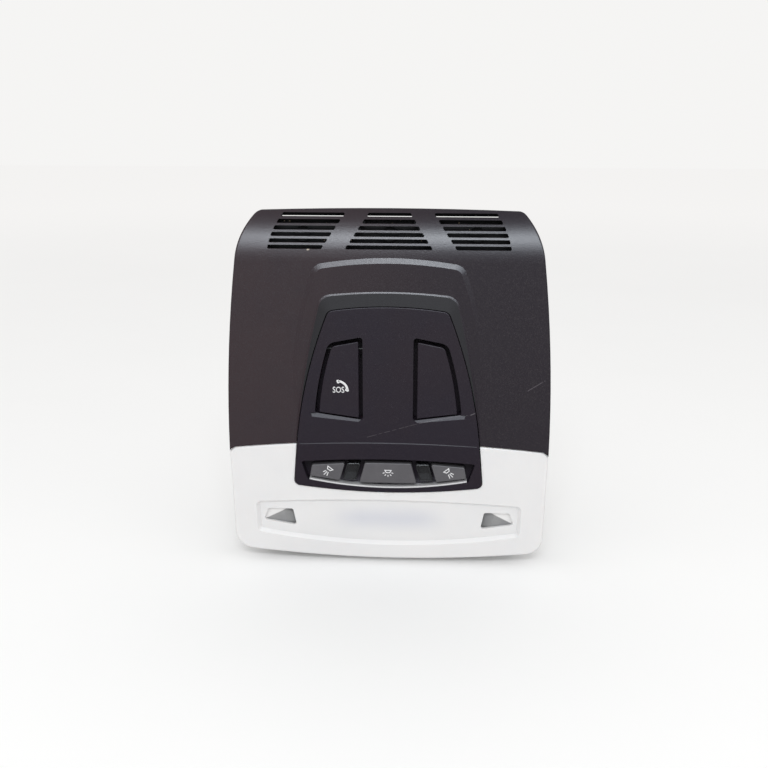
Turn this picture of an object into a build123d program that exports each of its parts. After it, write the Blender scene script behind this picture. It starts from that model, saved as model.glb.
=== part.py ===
from build123d import *
import os
from math import acos, cos, radians, sin, sqrt, tan

# Frame: X to the right and Z up as seen from the cabin, Y back into the roof.
# The origin is the middle of the roof seat, the flat pad on the back of the rear housing.

# Console outline
console_width = 203.3
top_edge_z = 106.3
shoulder_inset = 8.35
shoulder_z = 78.0
crown_inset = 21.15
crown_drop = 1.4
crown_radius = 6.0
arch_side_z = -44.0
arch_rise = 5.6
lens_low_z = -123.8
lens_low_rise = 6.5
lens_low_corner = 12.0
lens_top_corner = 5.0
trim_lens_gap = 0.3

# Depths and walls of the trim and the lens
face_depth = 36.0
rim_depth = 17.2
bend_z = 76.0
bend_radius = 38.0
trim_wall = 2.4
trim_edge_radius = 1.2
arch_flange_depth = 7.0
top_rib_z = 102.2
top_rib_depth = 1.4
crease_z = -40.0
lens_tilt = 6.0
lens_wall = 2.2
lens_edge_radius = 1.6

# Raised hood round the switch panel: outer step, plateau and ramp
plateau_rise = 1.4
plateau_foot_z = -20.0
hood_root = 0.2
step_run = 3.4
step_top_z = 78.6
step_corner = (45.6, 74.4)
step_side_mid = (56.2, 39.5)
step_side_wide = (60.7, 8.0)
step_low_mid = (60.3, -13.0)
step_low = (57.6, -36.0)
step_corner_radius = 9.0
ramp_top_z = 58.5
ramp_corner = (41.8, 56.0)
ramp_side_mid = (50.8, 20.0)
ramp_low_half = 59.0
ramp_end_lift = 1.0
ramp_corner_radius = 9.0

# Switch panel
seam_top_z = 49.3
seam_corner = (36.4, 46.4)
seam_side_mid = (48.4, 10.9)
seam_low_half = 57.8
seam_corner_radius = 5.0
panel_top_rise = 4.6
crease_rise = 0.8
panel_low_half = 60.6
panel_low_side_z = -69.4
panel_low_z = -73.8
panel_low_corner = 3.5
panel_gap = 0.5
panel_wall = 2.4
panel_skirt_wall = 2.0
panel_skirt_depth = 7.0
panel_edge_radius = 0.5
groove_half = 56.4
groove_depth = 0.35
groove_height = 0.8

# Grilles: horizontal slots cut to three fan-shaped fields
slot_rows = 6
slot_top_z = 102.7
slot_pitch = 3.66
slot_height = 2.4
slot_corner_radius = 0.7
side_grille_inner = ((26.4, 104.2), (40.8, 83.0))
side_grille_outer = ((64.4, 104.2), (70.6, 93.0), (73.3, 83.0))
centre_grille_half = (12.4, 26.8)
centre_grille_z = (104.2, 83.0)

# Trays, the pads in them and the emergency-call button
tray_inner_x = 15.6
tray_top_z = 30.6
tray_outer_top = (36.6, 26.4)
tray_outer_mid = (42.2, 5.8)
tray_outer_low = (46.0, -19.4)
tray_low_z = -23.6
tray_corner_radius = 1.9
tray_shoulder_radius = 6.5
tray_wall = 1.5
tray_floor_depth = 9.0
tray_floor_wall = 1.5
pad_gap = 2.6
pad_low_gap = 1.1
pad_corner_radius = 0.8
pad_sink = 0.3
pad_wall = 1.6
pad_edge_radius = 0.5
relief_height = 2.8
relief_inner_height = 1.5
relief_slope = 0.48
relief_tip = 2.8
relief_lead = 7.0
blank_post_diameter = 4.0
blank_posts = ((24.0, 18.0), (36.0, 0.0), (25.0, -14.0))
hinge_z = 22.0
hinge_depth = 4.2
pin_diameter = 1.6
pin_overhang = 1.0
running_clearance = 0.05
knuckle_radius = 1.9
knuckle_length = 2.5
knuckle_x = (-32.4, -20.0)
spring_wire = 0.5
spring_turns = 8
spring_inner_clearance = 0.25
spring_x = -26.2
spring_leg = 6.0
sos_centre = (-30.0, 0.0)
sos_size = (19.0, 22.0)
sos_corner_radius = 3.0
sos_proud = 3.6
sos_flange = 1.0
sos_flange_thickness = 1.2
sos_travel = 1.1

# Button row in the switch panel
recess_corner = (55.7, -52.6)
recess_top_z = -50.2
strip_low_z = -70.7
strip_radius = 251.0
strip_thickness = 1.0
strip_half = 50.6
strip_end_gap = 1.2
strip_sink = 0.3
strip_clearance = 0.1
recess_floor_depth = 8.0
recess_floor_wall = 1.5
recess_wall = 1.5
centre_button_half = (14.7, 18.5)
centre_button_z = (-53.2, -67.3)
reading_button_corners = ((27.6, -53.6), (48.9, -55.3), (50.4, -63.0), (31.2, -66.1))
window_corners = ((17.4, -53.7), (26.2, -53.8), (29.4, -65.6), (20.6, -65.6))
button_corner_radius = 1.1
button_sink = 0.5
button_edge_radius = 0.6
button_travel = 1.0
button_end_gap = 0.4
window_sink = 1.0
window_rim = 0.9
window_slot_depth = 1.6
window_ramp_z = (-60.6, -64.4)
stem_size = (6.0, 5.0)
stem_clearance = 0.3
centre_key = (0.0, -60.2)
reading_key = (39.4, -59.6)

# Lens trough, reading-light pockets and what stands behind them
trough_top_z = -80.1
trough_top_side_z = -83.0
trough_low_z = -114.0
trough_low_side_z = -105.7
trough_half = 86.8
trough_corner_radius = 4.0
trough_depth = 2.4
trough_run = 2.2
pocket_corners = ((82.3, -97.4), (79.3, -88.7), (62.8, -88.8), (60.7, -101.0))
pocket_corner_radius = 1.6
optic_gap = 0.3
reflector_x = (47.0, 86.0)
reflector_z = (-104.5, -85.0)
reflector_facet = ((86.0, -100.2), (86.0, -85.0), (70.0, -85.0))
reflector_floor = 1.2
reflector_wall = 1.4
guide_half = 44.0
guide_z = (-107.0, -87.0)
guide_corner_radius = 5.0
led_size = 3.5
led_height = 1.2
led_clearance = 0.8
reading_led_x = 53.0
reading_led_z = -94.0
courtesy_led_x = (12.0, 34.0)
courtesy_led_z = -97.0

# Circuit board with its switches and connector
board_front_depth = 16.0
board_thickness = 1.6
board_margin = 3.0
board_holes = ((46.0, 44.0), (48.0, -38.0), (80.0, -72.0))
board_hole_diameter = 3.2
switch_size = 6.2
switch_height = 2.0
plunger_diameter = 3.5
plunger_height = 1.0
plunger_gap = 0.1
header_centre = (0.0, 34.0)
header_size = (30.0, 12.0)
header_wall = 1.5
header_floor = 4.0
header_proud = 0.4
header_gap = 0.4
pin_columns = 6
pin_pitch = 3.5
pin_rows_apart = 4.2
pin_width = 0.8
pin_length = 8.0

# Rear housing, its screws and the roof clips
housing_half = (60.0, 92.0)
housing_z = (-113.0, -46.0, 60.0)
housing_corner_radius = 5.0
housing_wall = 1.8
housing_back_wall = 2.0
housing_front_depth = 15.0
seat_size = (44.0, 22.0)
seat_corner_radius = 3.0
seat_height = 1.0
rib_height = 0.5
rib_width = 1.4
rib_x = (-44.0, -30.0, 30.0, 44.0)
low_rib_x = (-66.0, -44.0, -22.0, 0.0, 22.0, 44.0, 66.0)
rib_margin = 6.0
post_diameter = 6.5
upper_boss = (72.0, 50.0)
lower_boss = (78.0, -31.5)
boss_diameter = 7.0
ear_thickness = 2.5
ear_width = 9.0
screw_hole_diameter = 3.2
screw_diameter = 2.2
screw_head_diameter = 5.6
screw_head_height = 1.8
screw_depth = 7.0
screw_tip_gap = 1.0
socket_width = 1.2
socket_depth = 0.9
clip_places = ((50.0, 14.0), (82.0, -86.0))
blade_thickness = 2.0
blade_width = 11.0
blade_height = 9.0
clip_width = 9.0
clip_sheet = 0.6
clip_clearance = 0.3
clip_flare = 2.6
clip_leg = 6.2

# Modules behind the grilles
side_module_corners = ((71.0, 101.2), (27.6, 101.2), (38.8, 81.2), (75.4, 81.2))
centre_module_half = (14.4, 28.6)
module_wall = 1.3
module_gap = 0.3
module_back_depth = 16.5
capsule_diameter = 9.0
capsule_height = 4.0

# Levels worked out from the depths
far_front = -2 * face_depth
face_y = -face_depth
rim_y = face_y + rim_depth
board_front = face_y + board_front_depth
board_back = board_front + board_thickness
tray_floor_y = face_y + tray_floor_depth
tray_back_y = tray_floor_y + tray_floor_wall
recess_floor_y = face_y + recess_floor_depth
recess_back_y = recess_floor_y + recess_floor_wall
panel_back_y = face_y + panel_skirt_depth
plunger_top = board_front - switch_height - plunger_height
housing_back_y = -seat_height
housing_floor_y = housing_back_y - housing_back_wall
housing_front_y = face_y + housing_front_depth
lens_slope = tan(radians(lens_tilt))
panel_slope = (panel_top_rise - crease_rise) / (seam_top_z - crease_z)
plateau_slope = plateau_rise / (step_top_z - plateau_foot_z)
side_reach = console_width
ramp_low = (ramp_low_half, crease_z + ramp_end_lift)
seam_low = (seam_low_half, crease_z)
recess_low_x = strip_half + strip_end_gap
overcut = 1.0


def prism(sketch, front, back):
    """A front-view sketch carried from the level front to the level back."""
    return extrude(Plane.XZ.offset(-back) * sketch, amount=back - front, dir=(0, -1, 0))


def slab(sketch):
    """A side-view sketch carried across the whole width."""
    return extrude(Plane.YZ * sketch, amount=side_reach, both=True)


def mirrored(points):
    return [(-x, z) for x, z in points]


def polygon(points, radius=0.0):
    sketch = make_face(Polyline(*points, close=True))
    if radius > 0:
        sketch = fillet(sketch.vertices(), radius)
    return sketch


def turned(rise_at_zero, slope):
    """A plane facing the cabin that stands rise_at_zero proud of the main face at z = 0."""
    return Plane(origin=(0, face_y - rise_at_zero, 0), x_dir=(1, 0, 0), z_dir=(0, -1, -slope))


def disc(x, z, diameter, front, back):
    return prism(Pos(x, z) * Circle(diameter / 2), front, back)


def block(x, z, width, height, front, back):
    return prism(Pos(x, z) * Rectangle(width, height), front, back)


def round_front(solid, radius):
    """Rounds the outline of the face nearest the cabin."""
    front = solid.faces().sort_by(Axis.Y)[0]
    return fillet(front.outer_wire().edges(), radius)


# Outlines in the front view


def lens_outline():
    half = console_width / 2
    low_side_z = lens_low_z + lens_low_rise
    edges = [
        ThreePointArc((-half, arch_side_z), (0, arch_side_z + arch_rise), (half, arch_side_z)),
        Line((half, arch_side_z), (half, low_side_z)),
        ThreePointArc((half, low_side_z), (0, lens_low_z), (-half, low_side_z)),
        Line((-half, low_side_z), (-half, arch_side_z)),
    ]
    sketch = make_face(edges)
    corners = sketch.vertices().group_by(Axis.Y)
    sketch = fillet(corners[0], lens_low_corner)
    return fillet(sketch.vertices().group_by(Axis.Y)[-1], lens_top_corner)


def console_outline():
    half = console_width / 2
    low_side_z = lens_low_z + lens_low_rise
    crown_x = half - crown_inset
    crown_z = top_edge_z - crown_drop
    edges = [
        ThreePointArc((-crown_x, crown_z), (0, top_edge_z), (crown_x, crown_z)),
        Line((-half, low_side_z), (half, low_side_z)),
    ]
    for sign in (-1, 1):
        foot = (sign * half, arch_side_z)
        shoulder = (sign * (half - shoulder_inset), shoulder_z)
        side = TangentArc(foot, shoulder, tangent=(0, 1))
        corner = TangentArc(shoulder, (sign * crown_x, crown_z), tangent=side % 1)
        edges += [side, corner, Line(foot, (foot[0], low_side_z))]
    sketch = make_face(edges)
    return fillet(sketch.vertices().group_by(Axis.Y)[-1], crown_radius)


def trim_outline():
    lens_height = arch_side_z - 2 * lens_top_corner - lens_low_z
    below = Pos(0, lens_low_z) * Rectangle(2 * console_width, 2 * lens_height)
    return console_outline() - offset(lens_outline(), trim_lens_gap) - below


def hood_outline(top_z, corner, side_points, corner_radius):
    """An arched top, two corners and sides through pairs of a middle and an end point."""
    edges = [ThreePointArc((-corner[0], corner[1]), (0, top_z), corner)]
    for sign in (-1, 1):
        start = corner
        for middle, end in side_points:
            edges.append(ThreePointArc((sign * start[0], start[1]), (sign * middle[0], middle[1]),
                                       (sign * end[0], end[1])))
            start = end
    edges.append(Line((-start[0], start[1]), start))
    sketch = make_face(edges)
    return fillet(sketch.vertices().group_by(Axis.Y)[-1], corner_radius)


def step_outline():
    sides = [(step_side_mid, step_side_wide), (step_low_mid, step_low)]
    return hood_outline(step_top_z, step_corner, sides, step_corner_radius)


def ramp_outline():
    return hood_outline(ramp_top_z, ramp_corner, [(ramp_side_mid, ramp_low)], ramp_corner_radius)


def seam_outline():
    return hood_outline(seam_top_z, seam_corner, [(seam_side_mid, seam_low)], seam_corner_radius)


def panel_outline():
    low_half = panel_low_half
    low_edges = [
        Line((-seam_low[0], seam_low[1]), seam_low),
        Line(seam_low, (low_half, panel_low_side_z)),
        ThreePointArc((low_half, panel_low_side_z), (0, panel_low_z), (-low_half, panel_low_side_z)),
        Line((-low_half, panel_low_side_z), (-seam_low[0], seam_low[1])),
    ]
    low = make_face(low_edges)
    low = fillet(low.vertices().group_by(Axis.Y)[0], panel_low_corner)
    return seam_outline() + low


def tray_outline(drop=0.0):
    """The right tray. drop carries its lower edge further down."""
    corners = [
        (tray_inner_x, tray_low_z - drop),
        (tray_inner_x, tray_top_z),
        tray_outer_top,
        (tray_outer_low[0], tray_outer_low[1] - drop),
    ]
    edges = [
        Line(corners[0], corners[1]),
        Line(corners[1], corners[2]),
        ThreePointArc(corners[2], tray_outer_mid, corners[3]),
        Line(corners[3], corners[0]),
    ]
    sketch = make_face(edges)
    by_x = sketch.vertices().sort_by(Axis.X)
    shoulder = by_x[2]
    others = [by_x[0], by_x[1], by_x[3]]
    sketch = fillet(shoulder, tray_shoulder_radius)
    return fillet([nearest(sketch, vertex) for vertex in others], tray_corner_radius)


def nearest(sketch, vertex):
    return sketch.vertices().sort_by_distance(vertex)[0]


def pad_outline():
    sketch = offset(tray_outline(pad_gap - pad_low_gap), -pad_gap)
    by_x = sketch.vertices().sort_by(Axis.X)
    return fillet([by_x[0], by_x[1], by_x[-1]], pad_corner_radius)


def on_side(shape, side):
    return shape if side > 0 else mirror(shape, about=Plane.YZ)


def strip_band(low_z, thickness, half):
    """A band along the strip's curve, thickness high, as far as half to each side."""
    centre_z = strip_low_z + strip_radius
    outer = centre_z - low_z
    band = Pos(0, centre_z) * (Circle(outer) - Circle(outer - thickness))
    return band & Pos(0, low_z) * Rectangle(2 * half, strip_radius / 2)


def recess_outline():
    low_y = strip_low_z - strip_clearance
    centre_z = strip_low_z + strip_radius
    reach = centre_z - low_y
    low_side_z = centre_z - sqrt(reach * reach - recess_low_x * recess_low_x)
    edges = [
        ThreePointArc((-recess_corner[0], recess_corner[1]), (0, recess_top_z), recess_corner),
        Line(recess_corner, (recess_low_x, low_side_z)),
        ThreePointArc((recess_low_x, low_side_z), (0, low_y), (-recess_low_x, low_side_z)),
        Line((-recess_low_x, low_side_z), (-recess_corner[0], recess_corner[1])),
    ]
    return fillet(make_face(edges).vertices(), button_corner_radius)


def trough_outline():
    top = (trough_half, trough_top_side_z)
    low = (trough_half, trough_low_side_z)
    left_top, left_low = mirrored([top, low])
    edges = [
        ThreePointArc(left_top, (0, trough_top_z), top),
        Line(top, low),
        ThreePointArc(low, (0, trough_low_z), left_low),
        Line(left_low, left_top),
    ]
    return fillet(make_face(edges).vertices(), trough_corner_radius)


def stepped_outline(halves, levels, radius):
    """A narrow upper part on a wide lower part."""
    upper, lower = halves
    low, middle, high = levels
    right = [(lower, low), (lower, middle), (upper, middle), (upper, high)]
    return polygon(right + mirrored(reversed(right)), radius)


def grille_fields():
    side_edges = [
        Line(side_grille_inner[0], side_grille_inner[1]),
        Line(side_grille_inner[1], side_grille_outer[2]),
        ThreePointArc(*side_grille_outer),
        Line(side_grille_outer[0], side_grille_inner[0]),
    ]
    right = make_face(side_edges)
    top_half, low_half = centre_grille_half
    top_z, low_z = centre_grille_z
    centre = polygon([(-top_half, top_z), (top_half, top_z), (low_half, low_z), (-low_half, low_z)])
    return [right, mirror(right, about=Plane.YZ), centre]


def grille_slots():
    slots = []
    for field in grille_fields():
        for row in range(slot_rows):
            band = Pos(0, slot_top_z - row * slot_pitch) * Rectangle(console_width, slot_height)
            slot = field & band
            slots.append(fillet(slot.vertices(), slot_corner_radius))
    return slots


# Side views


def trim_profile(inset, back):
    """Behind the flat face and curved top, inset below their surface, as far as the level back."""
    centre_y = face_y + bend_radius
    reach = bend_radius - inset
    swing = acos((centre_y - back) / reach)
    low_z = 2 * arch_side_z
    middle = (centre_y - reach * cos(swing / 2), bend_z + reach * sin(swing / 2))
    end = (back, bend_z + reach * sin(swing))
    edges = [
        Line((face_y + inset, low_z), (face_y + inset, bend_z)),
        ThreePointArc((face_y + inset, bend_z), middle, end),
        Line(end, (back, low_z)),
        Line((back, low_z), (face_y + inset, low_z)),
    ]
    return make_face(edges)


def lens_profile(inset, back):
    """Behind the tilted lens face, inset below its surface, as far as the level back."""
    high_z = 0.0
    low_z = 2 * lens_low_z
    high_y = face_y + inset - lens_slope * (high_z - crease_z)
    low_y = face_y + inset - lens_slope * (low_z - crease_z)
    steep = [(high_y, high_z), (low_y, low_z), (low_y, 2 * low_z), (back + side_reach, 2 * low_z),
             (back + side_reach, high_z)]
    keep = Pos(back - side_reach, 0) * Rectangle(2 * side_reach, 8 * side_reach)
    return polygon(steep) & keep


def panel_profile(inset, back):
    """Behind the two planes that meet at the crease, inset below their surface."""
    high_z = 2 * seam_top_z
    low_z = 2 * panel_low_z
    crease_y = face_y - crease_rise + inset
    points = [
        (crease_y - panel_slope * (high_z - crease_z), high_z),
        (crease_y, crease_z),
        (crease_y - lens_slope * (low_z - crease_z), low_z),
        (back, low_z),
        (back, high_z),
    ]
    return polygon(points)


def panel_surface_y(z):
    """Level of the switch panel's surface above the crease."""
    return face_y - crease_rise - panel_slope * (z - crease_z)


def row_surface_y(z):
    """Level of the switch panel's surface below the crease."""
    return face_y - crease_rise - lens_slope * (z - crease_z)


# Trim cover


def hood_solids():
    panel_rise = crease_rise - panel_slope * crease_z
    plateau_at_zero = -plateau_slope * plateau_foot_z
    step_plane = turned(plateau_at_zero, plateau_slope)
    foot_plane = turned(-hood_root, 0)
    outline = step_outline()
    plateau = loft([foot_plane * outline, step_plane * offset(outline, -step_run)])
    ramp_foot = turned(plateau_at_zero - hood_root, plateau_slope)
    ramp = loft([ramp_foot * ramp_outline(), turned(panel_rise, panel_slope) * seam_outline()])
    return plateau, ramp


def round_sides(cover):
    """Rounds the cover's front edge along both sides and round the top corners."""
    flat = cover.faces().sort_by(Axis.Y)[0]
    bend = cover.faces().filter_by(GeomType.CYLINDER).sort_by(SortBy.AREA)[-1]
    middles = [(edge, edge @ 0.5) for edge in flat.edges() + bend.edges()]
    low_z = arch_side_z + lens_top_corner
    sides = [edge for edge, middle in middles if abs(middle.X) > console_width / 4 and middle.Z > low_z]
    return fillet(sides, trim_edge_radius)


def make_trim_cover():
    outline = trim_outline()
    cover = round_sides(prism(outline, far_front, rim_y) & slab(trim_profile(0, rim_y)))
    inside = prism(offset(outline, -trim_wall), far_front, rim_y + overcut)
    hollow = inside & slab(trim_profile(trim_wall, rim_y + overcut))
    plateau, ramp = hood_solids()
    back = Pos(0, trim_wall, 0)
    cover = cover + plateau + ramp
    cover = cover - hollow - back * plateau - back * ramp
    cover -= prism(arch_inside(), face_y + arch_flange_depth, rim_y + overcut)
    cover += prism(outline & top_band(), rim_y - top_rib_depth, rim_y)
    for x, z in boss_places():
        cover += disc(x, z, boss_diameter, face_y + trim_wall / 2, housing_front_y)
        cover -= disc(x, z, screw_diameter, housing_front_y - screw_depth, housing_front_y)
    cover -= prism(offset(panel_outline(), panel_gap), far_front, rim_y)
    for slot in grille_slots():
        cover -= prism(slot, far_front, rim_y)
    return cover


def top_band():
    """Where the stiffening rib runs inside the top edge, behind the first row of slots."""
    height = top_edge_z - top_rib_z
    return Pos(0, top_rib_z + height / 2) * Rectangle(console_width, height)


def arch_inside():
    """Room behind the arch, where the trim's and the lens's facing walls stay shallow."""
    band = Pos(0, arch_side_z) * Rectangle(console_width, -2 * arch_side_z)
    return offset(console_outline(), -trim_wall) & band


def boss_places():
    return [(sign * x, z) for x, z in (upper_boss, lower_boss) for sign in (-1, 1)]


# Switch panel with its trays and recess


def relief_cut():
    """The sloped finger relief under the right tray's lower edge, which runs out to a point."""
    inner = Vector(tray_inner_x, tray_low_z)
    outer = Vector(*tray_outer_low)
    along = (outer - inner).normalized()
    up = Vector(-along.Y, along.X)
    tip = outer + along * relief_tip
    in_corner = tray_corner_radius * (1 - sqrt(0.5))
    drop = up * -2 * relief_height
    outline = [
        inner + (up + along) * in_corner,
        outer + (up - along) * in_corner,
        tip,
        outer + drop,
        inner + along * relief_lead + drop,
    ]
    field = prism(polygon([(point.X, point.Y) for point in outline]), far_front, tray_floor_y)
    sections = []
    for place, height in ((inner, relief_inner_height), (tip, relief_height)):
        plane = Plane(origin=(place.X, panel_surface_y(place.Y), place.Y), x_dir=(0, 1, 0),
                      z_dir=(along.X, 0, along.Y))
        depth = relief_slope * height
        top = tray_corner_radius
        sections.append(plane * polygon([(depth, 0), (depth, top), (-depth, top), (-depth, -2 * height)]))
    return field & loft(sections)


def parting_groove():
    """A shallow line across the panel that carries on the arch between trim and lens."""
    half = console_width / 2
    radius = (half * half / arch_rise + arch_rise) / 2
    top_z = arch_side_z + arch_rise
    front_y = panel_surface_y(top_z)
    wedge = [
        (front_y + groove_depth, top_z),
        (front_y - groove_depth, top_z),
        (front_y - groove_depth, top_z - 2 * groove_height),
    ]
    ring = revolve(Plane.YZ * polygon(wedge), axis=Axis((0, 0, top_z - radius), (0, 1, 0)))
    return ring & block(0, top_z, 2 * groove_half, 4 * arch_rise, far_front, panel_back_y)


def make_switch_panel():
    outline = panel_outline()
    panel = prism(outline, far_front, panel_back_y) & slab(panel_profile(0, panel_back_y))
    panel = round_edges_of_panel(panel)
    hollow = prism(offset(outline, -panel_skirt_wall), far_front, panel_back_y + overcut)
    panel -= hollow & slab(panel_profile(panel_wall, panel_back_y + overcut))
    for side in (-1, 1):
        walls = prism(offset(tray_outline(), tray_wall), far_front, tray_back_y)
        walls = walls & slab(panel_profile(panel_wall / 2, tray_back_y))
        panel += on_side(walls, side)
        panel -= on_side(prism(tray_outline(), far_front, tray_floor_y), side)
        panel -= on_side(relief_cut(), side)
    row = prism(offset(recess_outline(), recess_wall), far_front, recess_back_y)
    panel += row & slab(panel_profile(panel_wall / 2, recess_back_y))
    panel -= prism(recess_outline(), far_front, recess_floor_y)
    for x, z in light_keys():
        panel -= block(x, z, stem_size[0] + 2 * stem_clearance, stem_size[1] + 2 * stem_clearance,
                       recess_floor_y - overcut, recess_back_y + overcut)
    panel -= prism(offset(sos_outline(), stem_clearance), tray_floor_y - overcut, tray_back_y + overcut)
    panel -= parting_groove()
    reach = hinge_span()
    return panel - pin_solid(pin_diameter + 2 * running_clearance, reach[0], reach[1], hinge_y())


def round_edges_of_panel(panel):
    fronts = panel.faces().sort_by(Axis.Y)[:2]
    rim = [edge for edge in fronts[0].edges() + fronts[1].edges() if not is_crease(edge)]
    return fillet(rim, panel_edge_radius)


def is_crease(edge):
    middle = edge @ 0.5
    return abs(middle.X) < seam_corner[0] and abs(middle.Z - crease_z) < panel_wall


def light_keys():
    return [(-reading_key[0], reading_key[1]), centre_key, reading_key]


# Flap, its hinge and the button under it


def hinge_y():
    return panel_surface_y(hinge_z) + pad_sink + hinge_depth


def hinge_span():
    """Ends of the hinge pin, just inside the outer faces of the tray's two walls."""
    cut = offset(tray_outline(), tray_wall) & Pos(0, hinge_z) * Rectangle(2 * console_width, pin_diameter)
    box = cut.bounding_box()
    return -box.max.X + pin_overhang / 2, -box.min.X - pin_overhang / 2


def pin_solid(diameter, start, end, axis_y):
    return Pos((start + end) / 2, axis_y, hinge_z) * Rot(0, 90, 0) * Cylinder(diameter / 2, end - start)


def pad_plate():
    plate = prism(pad_outline(), far_front, tray_floor_y) & slab(panel_profile(pad_sink, tray_floor_y))
    plate = round_front(plate, pad_edge_radius)
    return plate - slab(panel_profile(pad_sink + pad_wall, tray_floor_y + overcut))


def make_sos_flap():
    flap = mirror(pad_plate(), about=Plane.YZ)
    axis_y = hinge_y()
    under_y = axis_y - hinge_depth + pad_wall / 2
    web = Box(knuckle_length, axis_y - under_y, 2 * knuckle_radius)
    for x in knuckle_x:
        flap += pin_solid(2 * knuckle_radius, x - knuckle_length / 2, x + knuckle_length / 2, axis_y)
        flap += Pos(x, (axis_y + under_y) / 2, hinge_z) * web
    span = hinge_span()
    return flap - pin_solid(pin_diameter + 2 * running_clearance, span[0], span[1], axis_y)


def make_sos_hinge_pin():
    span = hinge_span()
    return pin_solid(pin_diameter, span[0], span[1], hinge_y())


def make_sos_flap_spring():
    """Close-wound coil round the pin, with one leg behind the flap and one to the tray floor."""
    reach = (pin_diameter + spring_wire) / 2 + spring_inner_clearance
    length = (spring_turns - 1) * spring_wire
    section = Pos(length / 2, reach) * Rectangle(length, spring_wire / 2)
    for turn in range(spring_turns):
        section += Pos(turn * spring_wire, reach) * Circle(spring_wire / 2)
    coil = revolve(section, axis=Axis.X)
    leg = Cylinder(spring_wire / 2, spring_leg)
    front_leg = Pos(0, -reach, -spring_leg / 2) * leg
    rear_leg = Pos(length, spring_leg / 2, -reach) * Rot(90, 0, 0) * leg
    return Pos(spring_x, hinge_y(), hinge_z) * (coil + front_leg + rear_leg)


def sos_outline():
    return Pos(*sos_centre) * RectangleRounded(sos_size[0], sos_size[1], sos_corner_radius)


def make_sos_button():
    back_y = plunger_top - plunger_gap - sos_travel
    button = prism(sos_outline(), tray_floor_y - sos_proud, back_y)
    button = round_front(button, button_edge_radius)
    return button + prism(offset(sos_outline(), sos_flange), back_y - sos_flange_thickness, back_y)


def make_right_blank_cover():
    cover = pad_plate()
    posts = [disc(x, z, blank_post_diameter, far_front, tray_floor_y) for x, z in blank_posts]
    for post in posts:
        cover += post & slab(panel_profile(pad_sink + pad_wall / 2, tray_floor_y))
    return cover


# Light buttons, windows and strip


def make_button(corners, key):
    outline = polygon(corners, button_corner_radius)
    body_back = recess_floor_y - button_travel - button_end_gap
    body = prism(outline, far_front, body_back) & slab(panel_profile(button_sink, body_back))
    body = round_front(body, button_edge_radius)
    stem_end = plunger_top - plunger_gap - button_travel
    return body + block(key[0], key[1], stem_size[0], stem_size[1], body_back, stem_end)


def centre_button_corners():
    top_half, low_half = centre_button_half
    top_z, low_z = centre_button_z
    return [(-top_half, top_z), (top_half, top_z), (low_half, low_z), (-low_half, low_z)]


def make_window(corners):
    outline = polygon(corners, button_corner_radius)
    window = prism(outline, far_front, recess_floor_y) & slab(panel_profile(window_sink, recess_floor_y))
    window = round_front(window, button_edge_radius)
    return window - (prism(offset(outline, -window_rim), far_front, recess_floor_y) & slab(window_slot()))


def window_slot():
    """Side view of the slot in a window: a flat floor with a ramp at its lower end."""
    ramp_top, ramp_low = window_ramp_z
    floor_y = row_surface_y(ramp_top) + window_sink + window_slot_depth
    high_z = crease_z
    high_y = floor_y - lens_slope * (high_z - ramp_top)
    lip_y = row_surface_y(ramp_low) + window_sink
    return polygon([(far_front, high_z), (high_y, high_z), (floor_y, ramp_top), (lip_y, ramp_low),
                    (far_front, ramp_low)])


def make_chrome_strip():
    band = strip_band(strip_low_z, strip_thickness, strip_half)
    return prism(band, far_front, recess_floor_y) & slab(panel_profile(strip_sink, recess_floor_y))


# Lens and light parts


def make_main_lens():
    outline = lens_outline()
    lens = prism(outline, far_front, rim_y) & slab(lens_profile(0, rim_y))
    lens = round_front(lens, lens_edge_radius)
    inside = prism(offset(outline, -lens_wall), far_front, rim_y + overcut)
    lens -= inside & slab(lens_profile(lens_wall, rim_y + overcut))
    lens -= prism(arch_inside(), face_y + arch_flange_depth, rim_y + overcut)
    trough_back = prism(offset(trough_outline(), lens_wall / 2), far_front, rim_y)
    trough_back &= slab(lens_profile(lens_wall / 2, rim_y))
    lens += trough_back - slab(lens_profile(trough_depth + lens_wall, rim_y + overcut))
    face_rise = -lens_slope * crease_z
    mouth = turned(face_rise + trough_depth, lens_slope) * offset(trough_outline(), trough_run)
    floor = turned(face_rise - trough_depth, lens_slope) * offset(trough_outline(), -trough_run)
    lens -= loft([mouth, floor])
    for side in (-1, 1):
        lens -= on_side(prism(pocket_outline(), far_front, rim_y), side)
    return lens - prism(offset(panel_outline(), panel_gap), far_front, rim_y + overcut)


def pocket_outline():
    return polygon(pocket_corners, pocket_corner_radius)


def optic_inset():
    return trough_depth + lens_wall + optic_gap


def make_light_guide():
    low, high = guide_z
    outline = Pos(0, (low + high) / 2) * RectangleRounded(2 * guide_half, high - low, guide_corner_radius)
    back = board_front - led_height - optic_gap
    return prism(outline, far_front, back) & slab(lens_profile(optic_inset(), back))


def make_reflector(side):
    near, far = reflector_x
    low, high = reflector_z
    outline = Pos((near + far) / 2, (low + high) / 2) * Rectangle(far - near, high - low)
    body = prism(outline, far_front, board_front) & slab(lens_profile(optic_inset(), board_front))
    floor_y = board_front - reflector_floor
    ramp = [
        (near + reflector_wall, far_front),
        (near + reflector_wall, floor_y),
        (reading_led_x + led_size, floor_y),
        (far, face_y + optic_inset()),
        (far, far_front),
    ]
    scoop = Plane.XY.offset(low + reflector_wall) * polygon(ramp)
    facet = prism(polygon(reflector_facet), far_front, board_front)
    body -= extrude(scoop, amount=high - low - 2 * reflector_wall) - facet
    hole = led_size + led_clearance
    body -= block(reading_led_x, reading_led_z, hole, hole, floor_y - overcut, board_front + overcut)
    return on_side(body, side)


def make_reading_leds():
    return [led(sign * reading_led_x, reading_led_z) for sign in (-1, 1)]


def make_courtesy_leds():
    return [led(sign * x, courtesy_led_z) for x in courtesy_led_x for sign in (-1, 1)]


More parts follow.
